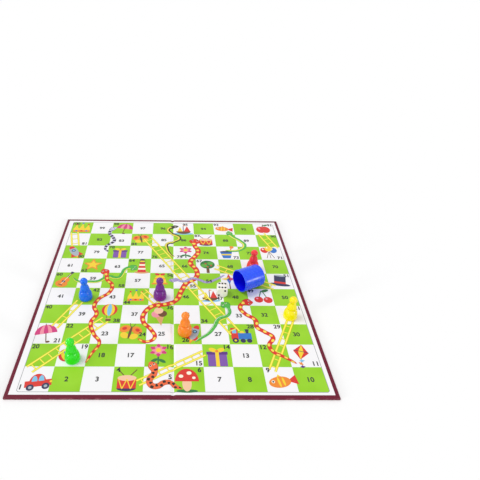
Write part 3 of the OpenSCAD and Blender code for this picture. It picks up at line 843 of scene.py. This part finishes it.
# each shape: its kind and ink, its middle, its width and height, and its tilt in degrees where it has one
pictures = {
    "kite": [
        ("box", "bark", 3, -24, 2, 40, 10), ("diamond", "red", 0, 12, 44, 56),
        ("diamond", "yellow", 0, 12, 16, 56), ("box", "navy", 0, 14, 42, 2),
        ("diamond", "sky", 4, -20, 16, 9, 20), ("diamond", "orange", 2, -31, 16, 9, -20),
        ("diamond", "plum", 7, -41, 16, 9, 20)],
    "balloons": [
        *pair("box", "bark", 8, -16, 2, 40, 18), ("box", "bark", 0, -12, 2, 44),
        ("disc", "red", -17, 14, 28, 34, 12), ("disc", "blue", 17, 14, 28, 34, -12),
        ("disc", "yellow", 0, 24, 28, 34), ("disc", "cream", -21, 21, 6, 10, 20),
        ("disc", "cream", 12, 21, 6, 10, 20), ("disc", "cream", -5, 31, 6, 10, 20)],
    "boat": [
        ("disc", "sky", 0, -32, 80, 14), ("half", "bark", 0, -24, 62, 20, 180),
        ("box", "navy", -1, 4, 3, 46), ("tri", "red", 15, 5, 28, 42), ("tri", "yellow", -15, 2, 22, 34),
        ("tri", "orange", 5, 30, 9, 12, -90)],
    "flower": [
        ("box", "forest", 0, -24, 5, 36), ("disc", "forest", -12, -27, 24, 11, 30),
        ("disc", "forest", 12, -29, 24, 11, -30), ("bloom", "magenta", 0, 12, 50, 50),
        ("bloom", "pink", 0, 12, 36, 36, 30), ("disc", "yellow", 0, 12, 16, 16)],
    "ball": [
        ("disc", "red", 0, 0, 58, 58, 25), ("disc", "yellow", 0, 0, 38, 58, 25),
        ("disc", "blue", 0, 0, 16, 58, 25), ("disc", "cream", -10, 23, 12, 7, 25)],
    "umbrella": [
        ("box", "bark", 0, -12, 3, 54), ("disc", "bark", 5, -38, 13, 8),
        ("half", "magenta", 0, 17, 70, 38), ("half", "pink", 0, 17, 38, 38),
        ("half", "magenta", 0, 17, 14, 38), ("tri", "bark", 0, 39, 4, 9)],
    "mushroom": [
        ("disc", "forest", 0, -36, 54, 10), ("disc", "peach", 0, -14, 24, 46),
        ("half", "red", 0, 13, 62, 40), ("disc", "cream", -15, 9, 12, 10),
        ("disc", "cream", 6, 19, 13, 11), ("disc", "cream", 18, 4, 9, 8)],
    "drum": [
        *pair("box", "bark", 18, 29, 3, 28, -40), ("disc", "navy", 0, -25, 54, 18),
        ("box", "red", 0, -8, 54, 34), ("disc", "peach", 0, 10, 54, 20),
        ("box", "yellow", -18, -10, 3, 34, 20), *pair("box", "yellow", 6, -10, 3, 34, 20),
        ("box", "yellow", 18, -10, 3, 34, -20)],
    "gift": [
        ("box", "violet", 0, -12, 52, 42), ("box", "yellow", 0, -12, 10, 42),
        ("box", "plum", 0, 12, 58, 10), ("box", "yellow", 0, 12, 10, 10),
        *pair("disc", "yellow", 11, 23, 23, 14, 25), ("disc", "orange", 0, 19, 9, 9)],
    "butterfly": [
        *pair("disc", "orange", 18, 12, 36, 28, -35), *pair("disc", "yellow", 14, -14, 27, 22, 35),
        *pair("disc", "red", 20, 13, 15, 12, -35), ("disc", "bark", 0, 0, 8, 52),
        *pair("box", "bark", 6, 30, 2, 16, -20)],
    "star": [("star", "orange", 0, 0, 68, 66), ("star", "yellow", 0, 0, 48, 46)],
    "airBalloon": [
        *pair("box", "bark", 7, -23, 2, 20, -12), ("disc", "red", 0, 13, 56, 60),
        ("disc", "yellow", 0, 13, 37, 60), ("disc", "sky", 0, 13, 16, 60),
        ("box", "bark", 0, -36, 18, 12), ("box", "tan", 0, -31, 20, 3)],
    "iceCream": [
        ("tri", "tan", 0, -23, 30, 44, 180), ("disc", "pink", -10, 4, 27, 27),
        ("disc", "bark", 10, 4, 27, 27), ("disc", "peach", 0, 18, 28, 27),
        ("disc", "red", 3, 34, 10, 10)],
    "rocket": [
        ("tri", "orange", 0, -37, 18, 24, 180), ("tri", "yellow", 0, -33, 9, 15, 180),
        *pair("tri", "red", 14, -19, 20, 24), ("disc", "steel", 0, 4, 29, 68),
        ("half", "red", 0, 30, 21, 17), ("disc", "navy", 0, 8, 15, 15), ("disc", "sky", 0, 8, 9, 9)],
    "crown": [
        ("box", "orange", 0, -20, 60, 13), ("box", "yellow", 0, -9, 60, 12),
        ("tri", "yellow", -21, 8, 19, 28), ("tri", "yellow", 0, 12, 19, 36),
        ("tri", "yellow", 21, 8, 19, 28), ("disc", "red", 0, -19, 9, 9),
        *pair("disc", "blue", 18, -19, 8, 8), ("disc", "red", -21, 24, 8, 8),
        ("disc", "blue", 0, 32, 8, 8), ("disc", "red", 21, 24, 8, 8)],
    "fish": [
        ("tri", "red", 29, 0, 30, 26, 90), ("tri", "yellow", -2, 16, 24, 16),
        ("disc", "orange", -4, 0, 58, 34), ("disc", "yellow", 6, 0, 6, 27),
        ("disc", "yellow", -6, 0, 6, 31), ("disc", "cream", -21, 4, 9, 9),
        ("disc", "navy", -21, 4, 5, 5)],
    "car": [
        ("half", "red", -2, 9, 44, 28), ("box", "red", 0, -8, 70, 20), ("half", "sky", -10, 8, 15, 18),
        ("half", "sky", 8, 8, 15, 18), *pair("disc", "navy", 20, -19, 20, 20),
        *pair("disc", "steel", 20, -19, 9, 9), ("disc", "yellow", 33, -6, 7, 7)],
    "apple": [
        ("box", "bark", 2, 27, 4, 16, -15), ("disc", "forest", 13, 29, 21, 10, 25),
        *pair("disc", "red", 9, -3, 38, 46), ("disc", "pink", -15, 6, 9, 16, 15)],
    "pinwheel": [
        ("box", "bark", 0, -20, 4, 50), ("tri", "red", 0, 26, 20, 30),
        ("tri", "yellow", -15, 11, 20, 30, 90), ("tri", "blue", 0, -4, 20, 30, 180),
        ("tri", "magenta", 15, 11, 20, 30, 270), ("disc", "navy", 0, 11, 9, 9)],
    "lighthouse": [
        ("disc", "tan", 0, -38, 52, 14), ("trap", "red", 0, -8, 30, 58), ("box", "cream", 0, -18, 26, 10),
        ("box", "cream", 0, 4, 21, 10), ("box", "yellow", 0, 25, 15, 11), ("half", "navy", 0, 35, 21, 10),
        ("box", "navy", 0, 20, 24, 3)],
    "bell": [
        ("disc", "bark", 0, -26, 14, 14), ("half", "yellow", 0, 3, 48, 54),
        ("box", "orange", 0, -22, 58, 8), *pair("disc", "red", 10, 31, 19, 12, 20),
        ("box", "orange", 0, 6, 40, 5)],
    "hat": [
        ("box", "navy", 0, 5, 40, 48), ("disc", "navy", 0, -19, 70, 16), ("box", "red", 0, -9, 40, 10),
        ("disc", "steel", 0, 29, 40, 9)],
    "guitar": [
        ("box", "bark", 0, 27, 7, 42), ("box", "navy", 0, 46, 12, 10), ("disc", "orange", 0, -22, 46, 38),
        ("disc", "orange", 0, 0, 34, 31), ("disc", "navy", 0, -9, 13, 13), ("box", "bark", 0, -29, 16, 4),
        ("box", "cream", 0, 6, 2, 64)],
    "bucket": [
        ("box", "orange", 18, 21, 5, 40, -15), ("disc", "orange", 24, 40, 16, 16),
        ("trap", "blue", 0, -9, 46, 40, 180), ("disc", "navy", 0, 11, 46, 10),
        ("box", "yellow", 0, -7, 37, 8)],
    "tree": [
        ("box", "bark", 0, -24, 11, 34), ("disc", "forest", 0, 10, 56, 50),
        ("disc", "leaf", -13, 4, 25, 22), ("disc", "leaf", 11, 17, 23, 20), ("disc", "red", -7, 15, 7, 7),
        ("disc", "red", 14, 4, 7, 7), ("disc", "red", 0, -4, 7, 7)],
    "cherries": [
        ("box", "forest", -6, 12, 3, 38, -18), ("box", "forest", 9, 12, 3, 38, 18),
        ("disc", "forest", 12, 30, 26, 12, 20), ("disc", "red", -13, -11, 28, 28),
        ("disc", "red", 16, -13, 28, 28), ("disc", "pink", -17, -6, 7, 8),
        ("disc", "pink", 12, -8, 7, 8)],
    "train": [
        ("box", "blue", 8, -4, 42, 24), ("box", "red", -19, 6, 20, 44), ("box", "sky", -19, 14, 12, 14),
        ("trap", "navy", 18, 15, 12, 16, 180), ("half", "yellow", 3, 12, 14, 9),
        ("disc", "navy", -18, -20, 18, 18), ("disc", "navy", 3, -21, 15, 15),
        ("disc", "navy", 21, -21, 15, 15), ("disc", "yellow", -18, -20, 7, 7)],
}
# which picture stands where: the square, the place in it, its size, and its turn where it has one
pictureSpots = {
    1: ("car", 0.6, 0.42, 1.22, 8), 4: ("drum", 0.46, 0.42, 1.15), 6: ("mushroom", 0.42, 0.5, 1.28),
    9: ("fish", 0.52, 0.4, 1.28, 10), 11: ("kite", 0.42, 0.52, 1.22, -15), 14: ("gift", 0.5, 0.44, 1.28),
    16: ("flower", 0.46, 0.58, 1.15), 19: ("ball", 0.32, 0.5, 1.02),
    21: ("umbrella", 0.36, 0.5, 1.15, 12), 24: ("butterfly", 0.4, 0.55, 1.22, -10),
    26: ("rocket", 0.74, 0.52, 1.09, -20), 28: ("train", 0.46, 0.44, 1.28),
    36: ("iceCream", 0.45, 0.46, 1.28, 8), 38: ("airBalloon", 0.52, 0.58, 1.09),
    44: ("crown", 0.48, 0.52, 1.09), 47: ("boat", 0.46, 0.6, 1.02), 49: ("cherries", 0.58, 0.5, 1.28),
    51: ("hat", 0.5, 0.52, 1.22, -10), 53: ("pinwheel", 0.35, 0.5, 1.15), 56: ("bell", 0.42, 0.55, 1.15),
    60: ("guitar", 0.45, 0.5, 1.15, -25), 62: ("star", 0.46, 0.58, 1.22),
    64: ("lighthouse", 0.62, 0.5, 1.22), 67: ("tree", 0.5, 0.5, 1.15), 71: ("balloons", 0.42, 0.55, 1.22),
    73: ("bucket", 0.42, 0.45, 1.22), 75: ("flower", 0.56, 0.56, 1.09), 78: ("gift", 0.56, 0.45, 1.15),
    80: ("rocket", 0.48, 0.5, 1.22, 30), 84: ("butterfly", 0.46, 0.56, 1.15, 12),
    87: ("drum", 0.54, 0.44, 1.15), 91: ("apple", 0.46, 0.5, 1.22), 93: ("fish", 0.46, 0.5, 1.15, -8),
    95: ("boat", 0.5, 0.42, 1.15), 98: ("umbrella", 0.6, 0.46, 1.15, -10),
    100: ("crown", 0.5, 0.48, 1.34),
}


def unitShape(kind):
    deselect()
    if kind in ("box", "trap"):
        bpy.ops.mesh.primitive_plane_add(size=1.0)
    else:
        corners = shapeMake["corners"].get(kind, shapeMake["roundCorners"])
        bpy.ops.mesh.primitive_circle_add(vertices=corners, radius=0.5, fill_type="NGON")
    shape = bpy.context.object
    shape.name = kind
    if kind == "half":
        editAll(shape)
        bpy.ops.mesh.bisect(plane_co=(0.0, 0.0, 0.0), plane_no=(0.0, 1.0, 0.0), clear_inner=True)
        backToObject()
    points = [vertex.co for vertex in shape.data.vertices]
    for index, point in enumerate(points):
        if kind == "star" and index % 2:
            point *= shapeMake["starWaist"]
        if kind == "bloom":
            wave = math.cos(2 * math.pi * shapeMake["petals"] * index / len(points))
            point *= 1 - shapeMake["petalDip"] * (1 - wave)
        if kind == "trap" and point.y > 0:
            point.x *= shapeMake["trapTop"]
    low = Vector([min(point[axis] for point in points) for axis in range(2)])
    high = Vector([max(point[axis] for point in points) for axis in range(2)])
    for point in points:
        point.x = (point.x - low.x) / (high.x - low.x) - 0.5
        point.y = (point.y - low.y) / (high.y - low.y) - 0.5
    return shape


def cutShape(master, place, unit, colour, x, y, width, height, tilt=0):
    part = copyPiece(master, master.name)
    place = place @ Matrix.Translation((x * unit, y * unit, 0.0)) @ turnAbout("Z", tilt)
    part.data.transform(place @ Matrix.Diagonal((width * unit, height * unit, 1.0, 1.0)))
    return colourShape(part, inkChart[colour])


def buildPicture(masters, number, kind, across, up, size, turn=0):
    column, row = squareCorner(number)
    unit = size * board["cell"] / 100 * mm
    parts = []
    for level, (shape, *rest) in enumerate(pictures[kind]):
        place = Matrix.Translation(gridPlace(column + across, row + up, level * shapeMake["level"]))
        parts.append(cutShape(masters[shape], place @ turnAbout("Z", turn), unit, *rest))
    return parts


def makePictures():
    kinds = ("box", "trap", "disc", "half", "tri", "diamond", "star", "bloom")
    masters = {kind: unitShape(kind) for kind in kinds}
    parts = []
    for number, spot in pictureSpots.items():
        parts += buildPicture(masters, number, *spot)
    scenes = joinPieces(parts, "Pictures")
    coat(scenes, pictureInk)
    layOnBoard(scenes, printLayer["pictures"], "print_sheet")
    for master in masters.values():
        discard(master)


makePictures()
print("pictures printed")


# Turned plastic pieces: rings of radius and height, each pulled out of the one before

def turnRings(name, rings, sides):
    deselect()
    radius, height = rings[0]
    bpy.ops.mesh.primitive_circle_add(vertices=sides, radius=radius * mm, location=(0.0, 0.0, height * mm))
    piece = bpy.context.object
    piece.name = name
    applyPlace(piece)
    editAll(piece)
    bpy.ops.mesh.select_mode(type="EDGE")
    for nextRadius, nextHeight in rings[1:]:
        bpy.ops.mesh.extrude_edges_move(
            TRANSFORM_OT_translate={"value": (0.0, 0.0, (nextHeight - height) * mm)})
        share = nextRadius / radius
        bpy.ops.transform.resize(value=(share, share, 1.0), center_override=(0.0, 0.0, 0.0),
                                 constraint_axis=(True, True, False))
        radius, height = nextRadius, nextHeight
    bpy.ops.mesh.edge_face_add()
    bpy.ops.mesh.select_all(action="DESELECT")
    bpy.ops.mesh.select_non_manifold()
    bpy.ops.mesh.edge_face_add()
    bpy.ops.mesh.select_all(action="SELECT")
    bpy.ops.mesh.normals_make_consistent(inside=False)
    backToObject()
    bpy.ops.object.shade_smooth_by_angle(angle=math.radians(38.0))
    return piece


def arc(middle, radius, fromAngle, toAngle, steps):
    turns = [math.radians(fromAngle + (toAngle - fromAngle) * k / steps) for k in range(steps + 1)]
    return [(middle[0] + radius * math.cos(a), middle[1] + radius * math.sin(a)) for a in turns]


def between(a, b, across, up):
    return a[0] + (b[0] - a[0]) * across, a[1] + (b[1] - a[1]) * up


def smoothLine(points, steps):
    line = []
    last = len(points) - 1
    points = [Vector(point) for point in points]
    for i in range(last):
        a, b, c, d = points[max(i - 1, 0)], points[i], points[i + 1], points[min(i + 2, last)]
        for k in range(steps):
            t = k / steps
            bend = 2 * a - 5 * b + 4 * c - d + t * (3 * b - a - 3 * c + d)
            line.append(tuple(b + 0.5 * t * (c - a + t * bend)))
    line.append(tuple(points[last]))
    return line


pawnPlan = {
    "foot": (8.2, 0.12), "bell": (8.8, 3.0), "groove": (4.5, 14.6), "lip": (6.1, 16.0), "neck": (3.8, 23.2),
    "throat": 4.31, "headRadius": 4.9, "crown": 87.0, "height": 33.0, "wall": 1.3, "hollow": 20.0,
    "innerEase": [(-0.05, 0.35), (0.1, 0.08), (0.35, 0.0)], "outerEase": 0.25, "sides": 72,
    # points of the outline on the way from one stage to the next, as shares across and up
    "bends": {
        ("foot", "bell"): [(0.67, 0.32)],
        ("bell", "groove"): [(0.1, 0.4), (0.36, 0.72), (0.72, 0.93)],
        ("groove", "lip"): [(0.75, 0.25)],
        ("lip", "neck"): [(0.2, 0.3), (0.62, 0.68)],
        ("neck", "throat"): [(0.25, 0.6)],
    },
}
# colour in the light, colour in the depth of the plastic
pawnColours = {
    "blue": ("0c74f4", "0650dc"), "green": ("34ea22", "16c414"), "purple": ("7a1c98", "4e0c70"),
    "orange": ("ff922e", "f86c0c"), "red": ("f03a44", "d81824"), "yellow": ("fdea0a", "f2ca00"),
}


plasticLook = {"specular": 0.4, "scatterDepth": 1.8, "scatterLeast": 0.1}


def makePlastic(name, light, deep, scatter=None, gloss=0.1, flow=90.0, depth=0.4, peel=0.02):
    material, tree, shader = newMaterial(
        name, Subsurface_Weight=depth, Subsurface_Scale=plasticLook["scatterDepth"] * mm,
        Specular_IOR_Level=plasticLook["specular"])
    tint = paint(scatter or light)[:3]
    shader["Subsurface Radius"].default_value = [plasticLook["scatterLeast"] + c for c in tint]
    inputs = {"Colour": paint(light), "Deep": paint(deep), "Flow Scale": flow, "Gloss": gloss}
    finishSurface(tree, shader, useGroup(tree, plasticSkin, inputs), peel * mm)
    return material


def pawnRings():
    headZ = pawnPlan["height"] - pawnPlan["headRadius"]
    throatTurn = math.degrees(math.acos(pawnPlan["throat"] / pawnPlan["headRadius"]))
    head = arc((0.0, headZ), pawnPlan["headRadius"], -throatTurn, pawnPlan["crown"], 18)
    stages = {key: pawnPlan[key] for key in ("foot", "bell", "groove", "lip", "neck")}
    stages["throat"] = head[0]
    points = []
    for (lower, upper), bends in pawnPlan["bends"].items():
        points.append(stages[lower])
        points += [between(stages[lower], stages[upper], *bend) for bend in bends]
    outline = smoothLine(points + [head[0]], 5)
    wall = pawnPlan["wall"]
    footRadius = stages["foot"][0]
    hollow = [(stages["neck"][0] - wall, pawnPlan["hollow"])]
    hollow += [(stages["groove"][0] - wall, stages["groove"][1])]
    hollow += [(footRadius - wall + across, up) for across, up in pawnPlan["innerEase"]]
    hollow += [(footRadius - pawnPlan["outerEase"], 0.0)]
    return hollow + outline + head[1:]


def makePawns():
    master = turnRings("pawn", pawnRings(), pawnPlan["sides"])
    for colour, tints in pawnColours.items():
        node = colour + "_pawn"
        low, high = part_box(node)
        pawn = copyPiece(master, colour + "Pawn")
        pawn.location = ((low.x + high.x) / 2, (low.y + high.y) / 2, low.z)
        applyPlace(pawn)
        coat(pawn, makePlastic(colour + "Plastic", *tints))
        fit(pawn, node, colour + "_plastic", node)
    discard(master)


makePawns()
print("pawns turned")


cupPlan = {
    "baseRadius": 15.0, "mouthRadius": 15.2, "length": 33.0, "wall": 1.2, "floor": 1.6, "round": 2.4,
    "beadRadius": 1.1, "beadMiddle": (14.5, 31.9), "beadEnd": -48.0, "underBead": (0.03, 3.2), "swell": 0.1,
    "lipDrop": 0.5, "lipEase": (0.12, 0.15), "floorRound": 1.2, "floorFlat": 4.0, "baseFlat": 6.0,
    "mouth": (7.647, 4.922, 18.49), "turn": 28.0, "tilt": 1.165,
    "sides": 96, "facesIn": -1e-4, "facesUp": 0.9,
    "outside": {"light": "2458ff", "deep": "1846f4", "gloss": 0.22},
    # the inside colours are the same blue plastic painted darker: painted shade inside the cup
    "inside": {"light": "0008f4", "deep": "0004dc", "gloss": 0.3},
    "skin": {"flow": 60.0, "depth": 0.5, "peel": 0.004},
}


def cupRings():
    inner = cupPlan["baseRadius"] - cupPlan["wall"]
    lip = cupPlan["mouthRadius"] - cupPlan["wall"]
    floor, length, bend = cupPlan["floor"], cupPlan["length"], cupPlan["round"]
    hollowRound = cupPlan["floorRound"]
    easeOut, easeDown = cupPlan["lipEase"]
    beadIn, beadDown = cupPlan["underBead"]
    rings = [(inner - cupPlan["floorFlat"], floor)]
    rings += arc((inner - hollowRound, floor + hollowRound), hollowRound, -90.0, 0.0, 5)
    rings += [(lip, length - cupPlan["lipDrop"]), (lip + easeOut, length - easeDown)]
    rings += arc(cupPlan["beadMiddle"], cupPlan["beadRadius"], 90.0, cupPlan["beadEnd"], 12)
    rings += [(cupPlan["mouthRadius"] - beadIn, length - beadDown)]
    rings += [(cupPlan["baseRadius"] + cupPlan["swell"], length / 2)]
    rings += arc((cupPlan["baseRadius"] - bend, bend), bend, 0.0, -90.0, 8)
    return rings + [(cupPlan["baseFlat"], 0.0)]


def makeCup():
    cup = turnRings("diceCup", cupRings(), cupPlan["sides"])
    coat(cup, makePlastic("cupOutside", **cupPlan["outside"], **cupPlan["skin"]),
         makePlastic("cupInsidePaintedShade", **cupPlan["inside"], **cupPlan["skin"]))
    # faces that look at the axis, and the floor inside, take the darker inside colours: painted shade inside
    # the cup
    for face in cup.data.polygons:
        outward = face.normal.x * face.center.x + face.normal.y * face.center.y
        onFloor = face.normal.z > cupPlan["facesUp"] and face.center.z < 2 * cupPlan["floor"] * mm
        face.material_index = 1 if outward < cupPlan["facesIn"] or onFloor else 0
    lay = Matrix.Translation(gridPlace(*cupPlan["mouth"]))
    lay = lay @ turnAbout("Z", 180.0 + cupPlan["turn"]) @ turnAbout("Y", 90.0 - cupPlan["tilt"])
    cup.matrix_world = lay @ Matrix.Translation((0.0, 0.0, -cupPlan["length"] * mm))
    applyPlace(cup)
    fit(cup, "dice_cup", "cup_plastic", "dice_cup")


makeCup()
print("cup turned")


diePlan = {
    "side": 14.4, "round": 0.145, "edge": 0.35, "weld": 0.01, "turn": -5.0,
    "pip": 0.21, "pitch": 0.275, "depth": 0.7,
    "ivory": {"light": "f6f3ec", "deep": "e6dfd0", "scatter": "f4ead8", "gloss": 0.2, "flow": 120.0},
    "paint": {
        "light": "060607", "deep": "101012", "scatter": "121113", "gloss": 0.6, "flow": 120.0, "depth": 0.0},
    # each face's turn about X and Y in degrees, and its pips in steps from the middle
    "faces": [
        ((180, 0), [(0, 0)]),
        ((90, 0), [(1, 1), (-1, -1)]),
        ((0, -90), [(1, 1), (0, 0), (-1, -1)]),
        ((0, 90), [(-1, -1), (-1, 1), (1, -1), (1, 1)]),
        ((-90, 0), [(0, 0), (-1, -1), (-1, 1), (1, -1), (1, 1)]),
        ((0, 0), [(-1, -1), (-1, 1), (0, -1), (0, 1), (1, -1), (1, 1)]),
    ],
}


def pipCutters(material):
    side = diePlan["side"]
    radius = diePlan["pip"] * side / 2
    ball = (radius ** 2 + diePlan["depth"] ** 2) / (2 * diePlan["depth"])
    deselect()
    bpy.ops.mesh.primitive_uv_sphere_add(segments=28, ring_count=16, radius=ball * mm)
    master = coat(bpy.context.object, material)
    step = diePlan["pitch"] * side
    lift = side / 2 - diePlan["depth"] + ball
    cutters = []
    for (aboutX, aboutY), pips in diePlan["faces"]:
        turned = turnAbout("Y", aboutY) @ turnAbout("X", aboutX)
        for across, up in pips:
            cutter = copyPiece(master, "pip")
            place = Vector((across * step, up * step, lift)) * mm
            cutter.data.transform(turned @ Matrix.Translation(place))
            cutters.append(cutter)
    discard(master)
    return joinPieces(cutters, "pips")


def makeDie():
    side = diePlan["side"]
    ivory = makePlastic("diePlastic", **diePlan["ivory"])
    ink = makePlastic("pipPaint", **diePlan["paint"])
    deselect()
    bpy.ops.mesh.primitive_cube_add(size=side * mm)
    die = coat(bpy.context.object, ivory)
    die.name = "dieBody"
    deselect()
    bpy.ops.mesh.primitive_uv_sphere_add(
        segments=96, ring_count=48, radius=(math.sqrt(3) / 2 - diePlan["round"]) * side * mm)
    ball = coat(bpy.context.object, ivory)
    applyModifier(die, "BOOLEAN", operation="INTERSECT", object=ball, solver="EXACT")
    discard(ball)
    applyModifier(die, "BEVEL", width=diePlan["edge"] * mm, segments=3, limit_method="ANGLE",
                  angle_limit=math.radians(28.0))
    pips = pipCutters(ink)
    applyModifier(die, "BOOLEAN", operation="DIFFERENCE", object=pips, solver="EXACT", use_self=True,
                  material_mode="TRANSFER")
    discard(pips)
    # the slivers that the cuts leave are welded shut
    editAll(die)
    bpy.ops.mesh.remove_doubles(threshold=diePlan["weld"] * mm)
    backToObject()
    low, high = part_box("die")
    die.matrix_world = Matrix.Translation((low + high) / 2) @ turnAbout("Z", diePlan["turn"])
    applyPlace(die)
    pick(die)
    bpy.ops.object.shade_smooth_by_angle(angle=math.radians(30.0))
    fit(die, "die", "die_plastic", "die", "die_pips")


makeDie()
print("die pipped")


# Floor, light and camera

stageLook = {"floor": "fbfbfb", "floorSize": 40.0, "floorDrop": 0.05, "ambient": 0.6}
# where each lamp shines from, its strength and its width in degrees: one above, two low at the sides
lamps = {
    "key": ((-0.5, 0.1, 1.0), 1.2, 24.0),
    "lowLeft": ((-0.85, -0.5, 0.18), 0.85, 12.0),
    "lowRight": ((0.85, -0.5, 0.18), 0.85, 12.0),
}
# the fitted viewpoint, in millimetres and degrees
viewpoint = {"place": (-5.24, -457.35, 399.27), "pitch": 34.68, "yaw": 1.363, "roll": 1.276,
             "lens": 32.995, "shift": 0.1294}


def makeFloor():
    deselect()
    drop = stageLook["floorDrop"] * mm
    bpy.ops.mesh.primitive_plane_add(size=stageLook["floorSize"], location=(0.0, 0.0, -drop))
    floor = bpy.context.object
    floor.name = "floor"
    material = newMaterial(
        "floor", Base_Color=paint(stageLook["floor"]), Roughness=0.9, Specular_IOR_Level=0.0)[0]
    coat(floor, material)


def makeLight():
    world = bpy.data.worlds.new("studio")
    bpy.context.scene.world = world
    world.use_nodes = True
    tree = world.node_tree
    sky = tree.nodes["Background"]
    rays = addNode(tree, "LightPath").outputs
    seen = calc(tree, "MAXIMUM", rays["Is Camera Ray"], rays["Is Glossy Ray"])
    seen = calc(tree, "MAXIMUM", seen, rays["Is Transmission Ray"])
    sky.inputs["Color"].default_value = (1.0, 1.0, 1.0, 1.0)
    plug(tree, spread(tree, seen, 0.0, 1.0, stageLook["ambient"], 1.0), sky.inputs["Strength"])
    for name, (shinesFrom, strength, width) in lamps.items():
        lamp = bpy.data.lights.new(name, "SUN")
        lamp.energy = strength
        lamp.angle = math.radians(width)
        stand = bpy.data.objects.new(name, lamp)
        bpy.context.collection.objects.link(stand)
        stand.rotation_euler = Vector(shinesFrom).to_track_quat("Z", "Y").to_euler()


def makeCamera():
    lens = bpy.data.cameras.new("camera")
    lens.sensor_width = 36.0
    lens.lens = viewpoint["lens"]
    lens.shift_x = viewpoint["shift"]
    lens.clip_start = 0.01
    camera = bpy.data.objects.new("camera", lens)
    bpy.context.collection.objects.link(camera)
    aim = turnAbout("Z", -viewpoint["yaw"]) @ turnAbout("X", 90.0 - viewpoint["pitch"])
    stand = Matrix.Translation(Vector(viewpoint["place"]) * mm)
    camera.matrix_world = stand @ aim @ turnAbout("Z", viewpoint["roll"])
    bpy.context.scene.camera = camera


makeFloor()
makeLight()
makeCamera()
bpy.context.scene.view_settings.view_transform = "Standard"
print("stage lit")

deselect()
